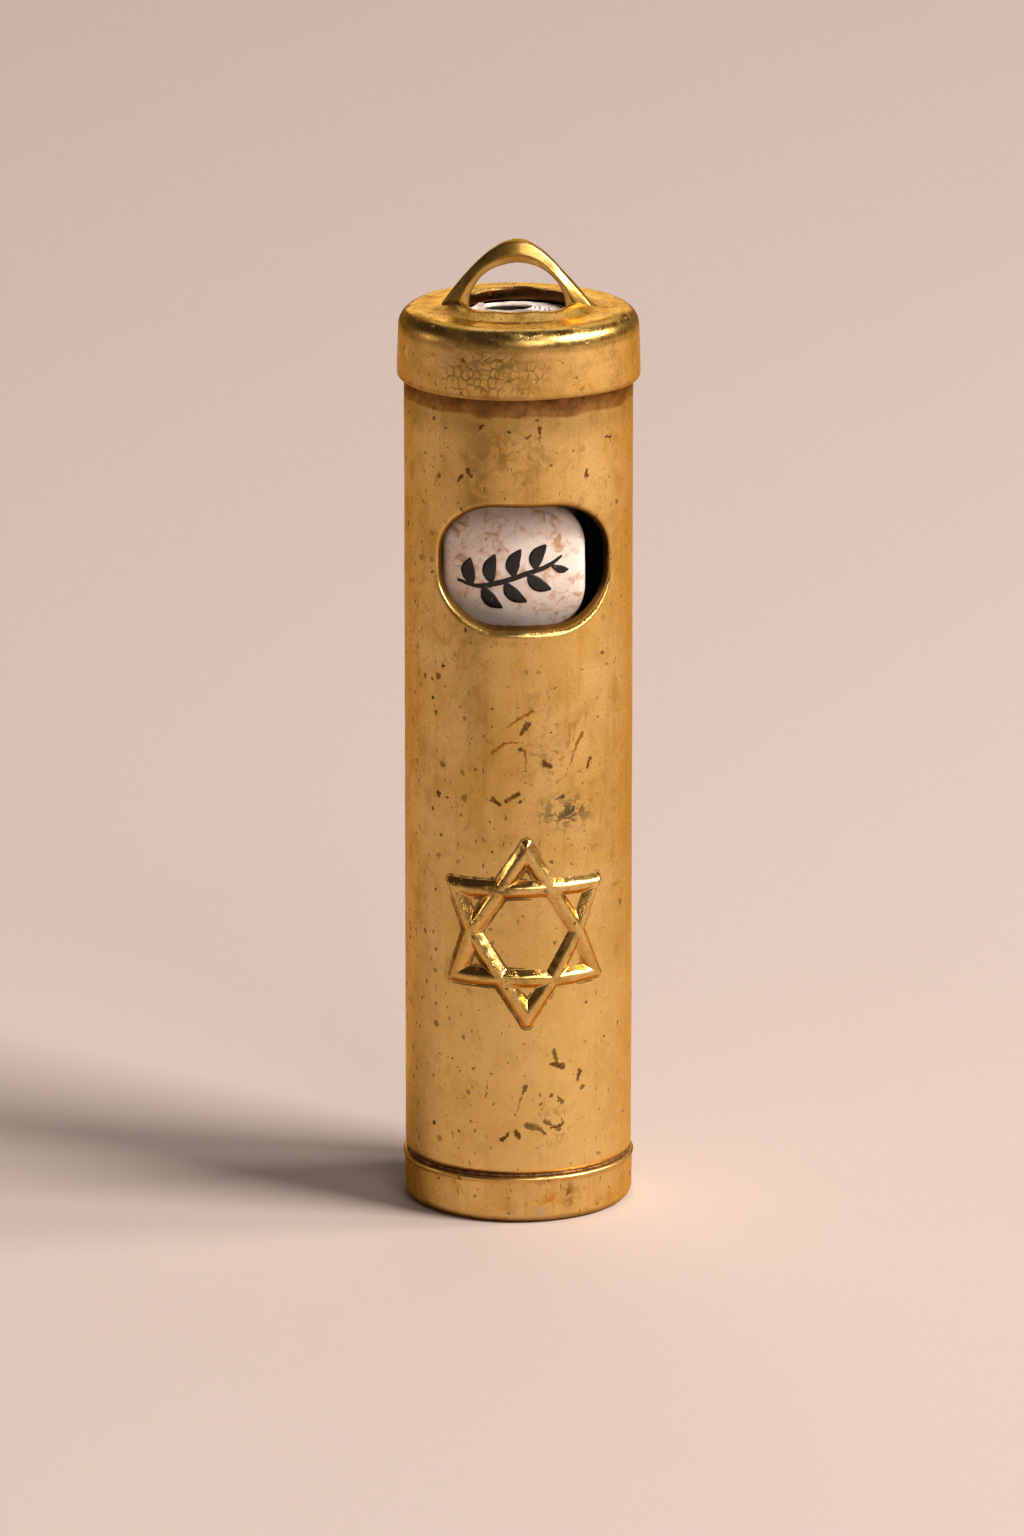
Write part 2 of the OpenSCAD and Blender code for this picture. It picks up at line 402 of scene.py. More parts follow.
# how round each side of the top is, and how steep its leg
LEFT_LEG, RIGHT_LEG = (7.6, 1.79), (3.0, 1.36)
EYE_LEFT, EYE_RIGHT, EYE_RISE = 3.45, 3.3, 3.1
BAIL_ROWS = 97


def bail_outer(u):
    """the outline at u from -1, the left foot, to 1, the right foot: a rounded top running into two legs"""
    round_by, steep = LEFT_LEG if u < 0 else RIGHT_LEG
    foot = math.sqrt((RISE + SINK + round_by) ** 2 - round_by ** 2) / steep
    x = foot * (0.7 * u + 0.3 * math.sin(u * math.pi / 2))
    return x, RISE + round_by - math.hypot(round_by, steep * x)


def bail_inner(u):
    """the eye's outline, half an ellipse with straight ends"""
    half = EYE_LEFT if u < 0 else EYE_RIGHT
    turn = u * 1.1 * math.pi / 2
    if abs(turn) < math.pi / 2:
        return half * math.sin(turn), EYE_RISE * math.cos(turn)
    return math.copysign(half, u), -(abs(turn) - math.pi / 2) * half


outer_line = np.array([bail_outer(u) for u in np.linspace(-1, 1, BAIL_ROWS)])
inner_line = np.array([bail_inner(u) for u in np.linspace(-1, 1, BAIL_ROWS)])
# corners of the section: how far out between the two lines, and how far to the front or back
corners = [(1.0, -0.30), (0.97, -0.47), (0.46, -0.81), (0.38, -0.80), (0.05, -0.46), (0.0, -0.30),
           (0.0, 0.30), (0.05, 0.46), (0.38, 0.80), (0.46, 0.81), (0.97, 0.47), (1.0, 0.30)]
sec = []
for a, b in zip(corners, corners[1:] + corners[:1]):
    a, b = np.array(a), np.array(b)
    n = 3 if np.hypot(*(b - a)) > 0.2 else 2
    sec += [a + (b - a) * i / n for i in range(n)]
sec = np.array(sec)
bail_verts, bail_rows = [], []
for k, (o, i) in enumerate(zip(outer_line, inner_line)):
    row = []
    f = abs(k / (BAIL_ROWS - 1) - 0.5) * 2
    thick = 0.92 + 0.10 * math.sin(k * 0.17) + 0.35 * smooth((f - 0.86) / 0.14)
    for u, v in sec:
        p = i + (o - i) * u
        x, y, z = p[0], v * thick, p[1]
        x += 0.035 * wob(x, y, z, 1.3, 5.0)
        y += 0.05 * wob(x, y, z, 1.6, 9.0)
        z += 0.035 * wob(x, y, z, 1.1, 2.0)
        row.append(len(bail_verts))
        bail_verts.append((*turned(x, y, BAIL_TURN), z + CAP_TOP))
    bail_rows.append(row)
bail_faces = skin(bail_rows) + [bail_rows[0][::-1], bail_rows[-1]]
bail = make("hanging_bail", bail_verts, bail_faces)
bail.modifiers.new("soft", "SUBSURF").levels = 1
bail.modifiers["soft"].render_levels = 1
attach(bail, "cap")
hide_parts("bail")

# solder mounds at the feet, draped on the lip
mound_v, mound_f = [], []
for sgn, reach in ((-1, 4.35), (1, 4.2)):
    rings = []
    for k in range(15):
        q = k / 14
        row = []
        for m in range(48):
            a = 2 * math.pi * m / 48
            rad = q * (1.12 + 0.16 * math.sin(2 * a + sgn) + 0.1 * math.sin(5 * a))
            x, y = sgn * reach + rad * math.cos(a) * 1.15, rad * math.sin(a) * 0.95
            r = math.hypot(x, y)
            push = max(0.0, HOLE_R + 0.06 - r)
            x, y = x * (r + push) / r, y * (r + push) / r
            z = CAP_TOP + lip(r + push) - 0.05 + 0.44 * (1 - q * q) ** 2 + 0.02 * wob(x, y, 0, 0.4, 3.0)
            row.append(len(mound_v))
            mound_v.append((*turned(x, y, BAIL_TURN), z))
        rings.append(row)
    mound_f += skin(rings[1:])
    mound_f.append(rings[1][::-1])
    under = []
    for m in rings[-1]:
        under.append(len(mound_v))
        mound_v.append((mound_v[m][0], mound_v[m][1], mound_v[m][2] - 0.25))
    mound_f += strip(rings[-1], under)
    mound_f.append(under)
mounds = make("bail_solder_mounds", mound_v, mound_f)
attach(mounds, "cap")
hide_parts("bail_solder")

# ---- star: ribs as a height field wrapped on the tube ----
# rib middles: distance round the tube from the front, and height
STAR_MID = STAR_Z - 0.2
# from the star's middle to the end of a rib's middle, which is inside the point of the outline
TIP_REACH = (star_hi[2] - star_lo[2]) / 2 - 0.8
TIP_ROUND = 1.02 * TIP_REACH * math.cos(math.radians(30))
TIP_UP = 1.08 * TIP_REACH / 2
BOW = 1.15      # the slanting ribs bow out a little where they cross
slope = BOW * TIP_ROUND / (TIP_REACH + TIP_UP)
CUT, WAIST = slope * (TIP_REACH - TIP_UP), slope * TIP_REACH    # crossings at a level rib and at mid height
hand = random.Random(12)


def hand_made(places):
    """the places of a true star, each a little off, as on a hand-made one"""
    slip = 0.12
    return {name: (s + hand.uniform(-slip, slip), STAR_MID + z + hand.uniform(-slip, slip))
            for name, (s, z) in places.items()}


TIPS = hand_made({"T": (0.0, TIP_REACH), "B": (0.0, -TIP_REACH), "TL": (-TIP_ROUND, TIP_UP),
                  "TR": (TIP_ROUND, TIP_UP), "BL": (-TIP_ROUND, -TIP_UP), "BR": (TIP_ROUND, -TIP_UP)})
CROSS = hand_made({"UL": (-CUT, TIP_UP), "UR": (CUT, TIP_UP), "L": (-WAIST, 0.0), "R": (WAIST, 0.0),
                   "DL": (-CUT, -TIP_UP), "DR": (CUT, -TIP_UP)})
NODE = {**TIPS, **CROSS}
LINES = ["T UL L BL", "BL DL DR BR", "BR R UR T", "TL UL UR TR", "TR R DR B", "B DL L TL"]
FLAT, RUN = 0.215, 0.50         # half width of a rib's top, and the width of its flank
STAR_TALL, STAR_WIDE = 15.4, 14.2   # how much of the tube the lattice covers
HEIGHT = -star_lo[1] - TUBE_R - 0.01


def star_distance(s, z):
    """distance from the middle of the nearest rib; each tip runs out in a short taper"""
    best = np.full(s.shape, 9.0)
    for line in LINES:
        names = line.split()
        for a, b in zip(names, names[1:]):
            (x0, z0), (x1, z1) = NODE[a], NODE[b]
            dx, dz = x1 - x0, z1 - z0
            t = np.clip(((s - x0) * dx + (z - z0) * dz) / (dx * dx + dz * dz), 0, 1)
            best = np.minimum(best, np.hypot(s - x0 - t * dx, z - z0 - t * dz))
    for x0, z0 in TIPS.values():
        ux, uz = x0, z0 - STAR_MID
        n = math.hypot(ux, uz)
        ux, uz, reach = ux / n, uz / n, 0.42
        t = np.clip(((s - x0) * ux + (z - z0) * uz) / reach, 0, 1)
        off = np.hypot(s - x0 - t * reach * ux, z - z0 - t * reach * uz)
        best = np.minimum(best, off + t * (FLAT - 0.03))
    return best


def star_mesh(name, cell, keep, height, low, attr=None):
    """a triangle lattice over the star, wrapped on the tube. keep(d) says which points stay, and
    height(d, noise, finer noise) how high they stand; low is the radius of the underside"""
    rows = []
    dz = cell * math.sqrt(3) / 2
    nz = int(STAR_TALL / dz)
    ns = int(STAR_WIDE / cell)
    S, Z = np.meshgrid(np.arange(ns) * cell, np.arange(nz) * dz)
    S = S - ns * cell / 2 + (np.arange(nz)[:, None] % 2) * cell / 2
    Z = Z - nz * dz / 2 + STAR_MID
    w1 = np.array([wob(s, z, 0, 1.7, 6.0) for s, z in zip(S.ravel(), Z.ravel())]).reshape(S.shape)
    w2 = np.array([wob(s, z, 4, 0.55, 2.0) for s, z in zip(S.ravel(), Z.ravel())]).reshape(S.shape)
    d = star_distance(S, Z) + 0.035 * w1 + 0.018 * w2
    good = keep(d)
    r = TUBE_R + height(d, w1, w2)
    th = S / (TUBE_R + 0.2)
    top = np.stack([r * np.sin(th), -r * np.cos(th), Z], -1)
    bot = np.stack([low * np.sin(th), -low * np.cos(th), Z], -1)
    tris = []
    for j in range(nz - 1):
        for i in range(ns - 1):
            if j % 2 == 0:
                two = (((j, i), (j, i + 1), (j + 1, i)), ((j, i + 1), (j + 1, i + 1), (j + 1, i)))
            else:
                two = (((j, i), (j, i + 1), (j + 1, i + 1)), ((j, i), (j + 1, i + 1), (j + 1, i)))
            for t in two:
                if all(good[p] for p in t):
                    tris.append(t)
    used = sorted({p for t in tris for p in t})
    num = {p: k for k, p in enumerate(used)}
    n = len(used)
    verts = np.array([top[p] for p in used] + [bot[p] for p in used])
    faces = [tuple(num[p] for p in t) for t in tris]
    edges = dict.fromkeys(e for f in faces for e in zip(f, f[1:] + f[:1]))
    faces += [tuple(i + n for i in f[::-1]) for f in faces]
    faces += [(b, a, a + n, b + n) for a, b in edges if (b, a) not in edges]
    values = {k: [v[p] for p in used] * 2 for k, v in (attr(d) if attr else {}).items()}
    return make(name, verts, faces, values)


def rib_height(d, w1, w2):
    """a slightly crowned top, and flanks that sink into the tube"""
    t = np.clip((d - FLAT + 0.05) / RUN, 0, 1)
    body = (1 - t ** 1.7) ** 1.45
    sink = smooth((d - FLAT - RUN + 0.12) / 0.14)
    crown = 1 - 0.09 * np.clip(d / FLAT, 0, 1) ** 2
    return HEIGHT * body * crown * (1 + 0.06 * w1) - 0.012 * w2 * (body > 0.5) - 0.075 * sink


star = star_mesh("six_point_star", 0.075, lambda d: d < FLAT + RUN + 0.1, rib_height, TUBE_R - 0.09,
                 lambda d: {"flank": smooth((d - FLAT + 0.03) / 0.08)})
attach(star, "case")
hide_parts("star_emblem")


def seam_height(d, w1, w2):
    """a low uneven ridge along the foot of the ribs"""
    mid = FLAT + RUN + 0.02
    return 0.05 * np.exp(-((d - mid) / 0.11) ** 2) * (0.75 + 0.5 * w1) - 0.03 + 0.01 * w2


star_seam = star_mesh("star_solder_line", 0.12, lambda d: (d > FLAT + 0.14) & (d < FLAT + RUN + 0.42),
                      seam_height, TUBE_R - 0.12)
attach(star_seam, "case")
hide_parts("star_solder")


# ---- plaque: a domed white pebble on the roll ----
PL_HW, PL_HH = 4.85, (plaque_hi[2] - plaque_lo[2]) / 2
PL_R = 3.3                      # corner radius
DOME = 12.9                     # radius of the domed front


def plaque_front(x, z):
    """the front's distance ahead of the axis at a place on the plaque"""
    rr = min(x * x + z * z, DOME * DOME)
    return PLAQUE_FRONT - (DOME - math.sqrt(DOME * DOME - rr)) + 0.03 * wob(x, 0, z, 3.0, 4.0)


pts, nrm = outline_samples(PL_HW, PL_HH, PL_R, 320)
pick = np.linspace(0, len(pts), 168, endpoint=False).astype(int)
pts, nrm = pts[pick], nrm[pick]
pl_v = []
soft_r = 0.42


def plaque_row(scale, inset, back):
    """one closed row of the plaque, inset from its outline and set back from its front"""
    row = []
    for (px, pz), (nx, nz) in zip(pts, nrm):
        wv = 0.05 * wob(px, 0, pz, 2.4, 8.0)
        x, z = (px + nx * (wv - inset)) * scale, (pz + nz * (wv - inset)) * scale
        x *= 1.05 if x < 0 else 1.0
        row.append(len(pl_v))
        pl_v.append((*turned(x, back - plaque_front(x, z), PLAQUE_TURN), z + PLAQUE_Z))
    return row


rows = [plaque_row(q, soft_r, 0.0) for q in np.linspace(0.04, 1.0, 24)]
for k in range(1, 8):
    a = math.radians(90 * k / 7)
    rows.append(plaque_row(1.0, soft_r * (1 - math.sin(a)), soft_r * (1 - math.cos(a))))
rows.append(plaque_row(1.0, 0.0, soft_r + 0.25))
rows.append(plaque_row(1.0, 0.25, soft_r + 0.5))
rows.append(plaque_row(0.5, 0.25, 1.9))
plaque = make("domed_plaque", pl_v, [rows[0][::-1], rows[-1]] + skin(rows))
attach(plaque, "scroll")
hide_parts("window_plaque")

# a plain leafy sprig in black ink, in place of the lettering
ink_v, ink_f = [], []
INK_STEPS = 33


def ink(path, widths, lift):
    """a painted stroke: a path on the plaque and its half widths, following the dome"""
    line = curve_through(path, INK_STEPS)
    half = np.interp(np.linspace(0, 1, INK_STEPS), np.linspace(0, 1, len(widths)), widths)
    tang = np.gradient(line, axis=0)
    tang /= np.linalg.norm(tang, axis=1)[:, None]
    across = np.linspace(-1, 1, 7)
    sections = []
    for (px, pz), (tx, tz), w in zip(line, tang, half):
        section = []
        for level, places in ((lift, across), (lift - 0.04, across[::-1])):
            for c in places:
                ww = w + 0.03 * wob(px, c, pz, 0.5, 3.0)
                x, z = px - tz * ww * c, pz + tx * ww * c
                y = -(plaque_front(x, z) + level - 0.006 * c * c)
                section.append(len(ink_v))
                ink_v.append((*turned(x, y, PLAQUE_TURN), z + PLAQUE_Z))
        sections.append(section)
    ink_f.extend(ribbon(sections))


LEAF = [0.03, 0.30, 0.46, 0.50, 0.44, 0.28, 0.05]
ink([(-4.0, -0.9), (-2.6, -1.25), (-1.0, -0.95), (0.7, -0.35), (2.2, 0.2), (3.3, 0.95)],
    [0.10, 0.16, 0.19, 0.19, 0.16, 0.08], 0.020)
ink([(-2.9, -1.2), (-3.25, -0.2), (-3.1, 0.75)], LEAF, 0.024)
ink([(-1.55, -1.1), (-1.75, 0.0), (-1.35, 1.05)], LEAF, 0.028)
ink([(0.0, -0.6), (-0.1, 0.45), (0.45, 1.45)], LEAF, 0.024)
ink([(1.45, -0.05), (1.55, 0.95), (2.2, 1.75)], LEAF, 0.028)
ink([(-2.2, -1.2), (-1.75, -2.2), (-0.85, -2.85)], LEAF, 0.032)
ink([(-0.7, -0.85), (-0.1, -1.8), (0.85, -2.35)], LEAF, 0.024)
ink([(0.9, -0.25), (1.6, -1.05), (2.55, -1.45)], LEAF, 0.032)
ink([(2.5, 0.35), (3.15, 0.0), (3.75, -0.05)], [0.03, 0.2, 0.3, 0.24, 0.05], 0.024)
sprig = make("ink_sprig", ink_v, ink_f)
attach(sprig, "scroll")

# ---- the rolled scroll: pale edges of the turns at the top, an open flattened core ----
ROLL_TOP = roll_hi[2]
core_c, core_rx, core_ry = np.array((-0.6, 2.35)), 1.72, 1.05
rv, rings = [], []
M = 144


def roll_ring(f, z, r=ROLL_R):
    """f = 0 at the outside and 1 at the core"""
    row = []
    for m in range(M):
        a = 2 * math.pi * m / M
        c = core_c * f
        rx, ry = r + (core_rx - r) * f, r + (core_ry - r) * f
        dr = 0.03 * wob(math.cos(a) * 4, math.sin(a) * 4, z * 0.08, 1.2, 5.0)
        x, y = c[0] + (rx + dr) * math.cos(a), c[1] + (ry + dr) * math.sin(a)
        turn = a / (2 * math.pi)
        groove = 0.0
        if z > ROLL_TOP - 0.02:
            phase = (f * 9 + turn) % 1.0
            groove = -0.16 * math.exp(-((phase - 0.5) / 0.12) ** 2) * (0.02 < f < 0.98)
            groove += 0.05 * wob(x, y, 0, 0.6, 2.0)
        row.append(len(rv))
        rv.append((x, y, z + groove))
    return row


seq = [roll_ring(0.0, z, ROLL_R - 0.04) for z in (roll_lo[2], roll_lo[2] + 0.05)]
seq += [roll_ring(0.0, z) for z in np.linspace(roll_lo[2] + 0.2, ROLL_TOP - 0.1, 48)]
seq += [roll_ring(f, ROLL_TOP, ROLL_R - 0.03) for f in np.linspace(0.0, 1.0, 60)]
seq += [roll_ring(1.0, z, ROLL_R) for z in np.linspace(ROLL_TOP - 0.15, ROLL_TOP - 16, 12)]
roll = make("parchment_roll", rv, skin(seq) + [seq[0][::-1], seq[-1]])
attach(roll, "scroll")
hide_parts("scroll_roll")

# the loose inner end of the sheet, standing a little proud at the left of the core
tail_v, sections = [], []
tail = curve_through([(-3.35, 0.6), (-3.1, 1.3), (-2.72, 1.75), (-2.35, 1.9)], 25)
for k, (x, y) in enumerate(tail):
    h = 0.10 + 0.34 * smooth(k / 24 * 1.2) + 0.10 * wob(k * 0.35, 0, 0, 1.0, 4.0)
    section = []
    for sgn in (-1, 1):
        for q in np.linspace(0, 1, 8)[::-sgn]:
            section.append(len(tail_v))
            tail_v.append((x + sgn * 0.06, y + sgn * 0.04, ROLL_TOP - 0.3 + (0.3 + h) * q))
    sections.append(section)
tailob = make("roll_loose_end", tail_v, ribbon(sections))
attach(tailob, "scroll")


# ---- materials ----
def put(tree, node, key, value):
    """sets an input, or links it if the value is another node's output"""
    if isinstance(value, bpy.types.NodeSocket):
        tree.links.new(value, node.inputs[key])
    elif value is not None:
        node.inputs[key].default_value = value


def add_node(tree, kind, values, **settings):
    """a new node with its settings, and the values or links of its inputs"""
    n = tree.nodes.new("ShaderNode" + kind)
    for key, value in settings.items():
        setattr(n, key, value)
    for key, value in values.items():
        put(tree, n, key, value)
    return n


class Mat:
    """a small helper that builds node materials; texture places are in millimetres"""

    def __init__(self, name):
        self.m = bpy.data.materials.new(name)
        self.m.use_nodes = True
        self.t = self.m.node_tree
        self.t.nodes.clear()
        self.b = self.node("BsdfPrincipled")
        self.node("OutputMaterial", {0: self.b.outputs[0]})
        self.p = self.vec("SCALE", self.node("TexCoord").outputs["Object"], scale=1.0 / MM)
        self.xyz = self.node("SeparateXYZ", {0: self.p})

    def node(self, kind, values=None, **settings):
        return add_node(self.t, kind, values or {}, **settings)

    def finish(self, colour, rough, normal, metal=None):
        """the finished material"""
        looks = {"Base Color": colour, "Roughness": rough, "Normal": normal, "Metallic": metal}
        for key, value in looks.items():
            put(self.t, self.b, key, value)
        return self.m

    def math(self, op, a, b=None, c=None, clamp=False):
        return self.node("Math", {0: a, 1: b, 2: c}, operation=op, use_clamp=clamp).outputs[0]

    def times(self, a, b):
        return self.math("MULTIPLY", a, b)

    def most(self, a, b):
        """the greater of two values, or the second where there is no first"""
        return b if a is None else self.math("MAXIMUM", a, b)

    def vec(self, op, a, b=None, c=None, scale=None):
        n = self.node("VectorMath", {0: a, 1: b, 2: c, "Scale": scale}, operation=op)
        return n.outputs["Value" if op in ("LENGTH", "DOT_PRODUCT") else 0]

    def axis(self, k):
        return self.xyz.outputs[k]

    def stretch(self, sx, sy, sz, turn=(0, 0, 0)):
        return self.node("Mapping", {0: self.p, "Scale": (sx, sy, sz), "Rotation": turn}).outputs[0]

    def noise(self, size, detail=4.0, rough=0.55, distort=0.0, where=None, colour=False):
        n = self.node("TexNoise", {"Vector": where or self.p, "Scale": 1.0 / size, "Detail": detail,
                                   "Roughness": rough, "Distortion": distort})
        return n.outputs["Color" if colour else 0]

    def cells(self, size, where, feature="F1", random=1.0, flat=False):
        return self.node("TexVoronoi", {"Vector": where, "Scale": 1.0 / size, "Randomness": random},
                         feature=feature, voronoi_dimensions="2D" if flat else "3D")

    def split(self, colour):
        return self.node("SeparateColor", {0: colour}).outputs

    def ramp(self, v, lo, hi, a=0.0, b=1.0):
        """a soft step from a to b while v goes from lo to hi"""
        n = self.node("MapRange", {"Value": v, "From Min": lo, "From Max": hi, "To Min": a, "To Max": b},
                      interpolation_type="SMOOTHSTEP")
        return n.outputs[0]

    def mix(self, f, a, b):
        return self.node("Mix", {0: f, 6: a, 7: b}, data_type="RGBA").outputs[2]

    def mixf(self, f, a, b):
        return self.node("Mix", {0: f, 2: a, 3: b}).outputs[0]

    def bump(self, h, strength, dist, prev=None):
        n = self.node("Bump", {"Strength": strength, "Distance": dist * MM, "Height": h, "Normal": prev})
        return n.outputs[0]

    def radius(self):
        """distance from the tube's axis"""
        x, y = self.axis(0), self.axis(1)
        return self.math("SQRT", self.math("ADD", self.times(x, x), self.times(y, y)))

    def wrapped(self):
        """flat places on a turned surface: the way round it, and the way up it or in over its top"""
        round_it = self.math("ARCTAN2", self.axis(0), self.times(self.axis(1), -1.0))
        up_it = self.math("SUBTRACT", self.axis(2), self.radius())
        return self.node("CombineXYZ", {0: self.times(round_it, TUBE_R), 1: up_it}).outputs[0]

    def warped(self, v, size, amount):
        """a place shifted a little by noise, for ragged outlines"""
        colour = self.noise(size, 3, 0.7, 0.0, None, True)
        return self.vec("MULTIPLY_ADD", self.vec("SUBTRACT", colour, (0.5, 0.5, 0.5)), (amount,) * 3, v)

    def stroke(self, v, a, b, wide_a, wide_b):
        """1 along a line from a to b on the object, with a half width at each end"""
        way = Vector(b) - Vector(a)
        rel = self.vec("SUBTRACT", v, tuple(a))
        t = self.vec("DOT_PRODUCT", rel, tuple(way / way.length_squared))
        t = self.math("MULTIPLY", t, 1.0, clamp=True)
        off = self.vec("LENGTH", self.vec("SUBTRACT", rel, self.vec("SCALE", way, scale=t)))
        wide = self.math("MULTIPLY_ADD", t, wide_b - wide_a, wide_a)
        return self.ramp(off, wide, self.times(wide, 0.55))

    def near(self, centre, size):
        """1 at a place on the object, falling to 0 at the given half sizes"""
        n = self.node("Mapping", {0: self.p, "Location": centre, "Scale": size}, vector_type="TEXTURE")
        return self.ramp(self.vec("LENGTH", n.outputs[0]), 1.0, 0.0)


def srgb(r, g, b):
    """a colour from its screen values, 0 to 255"""
    def f(c):
        c /= 255.0
        return c / 12.92 if c <= 0.04045 else ((c + 0.055) / 1.055) ** 2.4
    return (f(r), f(g), f(b), 1.0)


GOLD = (0.70, 0.455, 0.145, 1.0)
GOLD_PALE = (0.78, 0.545, 0.225, 1.0)
GOLD_DEEP = (0.50, 0.275, 0.055, 1.0)
BROWN = (0.10, 0.045, 0.014, 1.0)


def pits(m, density, flat):
    """irregular dark pits and specks of several sizes, some of them drawn out into short upright cracks"""
    place = m.warped(m.wrapped() if flat else m.p, 0.35, 0.5)
    tall = m.vec("MULTIPLY", place, (2.0, 0.55, 1.0))
    dark = None
    # cell size, share of the cells left empty, half width in cells, size of the clusters
    for v, size, empty, wide, cluster in ((place, 2.1, 0.56, 0.135, 5.0), (place, 1.15, 0.58, 0.14, 4.0),
                                          (place, 0.55, 0.68, 0.12, 3.0), (tall, 1.0, 0.76, 0.13, 4.5)):
        cell = m.cells(size, v, flat=flat)
        luck = m.split(cell.outputs["Color"])
        chance = m.math("MULTIPLY_ADD", m.math("SUBTRACT", m.noise(cluster, 2), 0.5), 1.1, luck[0])
        kept = m.ramp(chance, empty - 0.1 * (density - 1) - 0.02, empty - 0.1 * (density - 1) + 0.10)
        half = m.times(m.math("MULTIPLY_ADD", luck[1], luck[1], 0.32), wide)
        dot = m.times(m.ramp(cell.outputs["Distance"], half, m.times(half, 0.6)), kept)
        dark = m.most(dark, m.times(dot, m.ramp(luck[2], 0.0, 1.0, 0.45, 1.0)))
    return dark


def scratches(m):
    """fine hair scratches in three directions"""
    out = None
    for turn in ((0.0, 0.35, 0.2), (0.0, -0.9, 0.5), (0.0, 0.06, 0.9)):
        n = m.noise(0.9, 2, 0.5, 0.0, m.stretch(5.0, 5.0, 0.35, turn=turn))
        out = m.most(out, m.ramp(m.math("ABSOLUTE", m.math("SUBTRACT", n, 0.5)), 0.007, 0.0))
    return m.times(out, m.ramp(m.noise(2.5, 2), 0.45, 0.7))


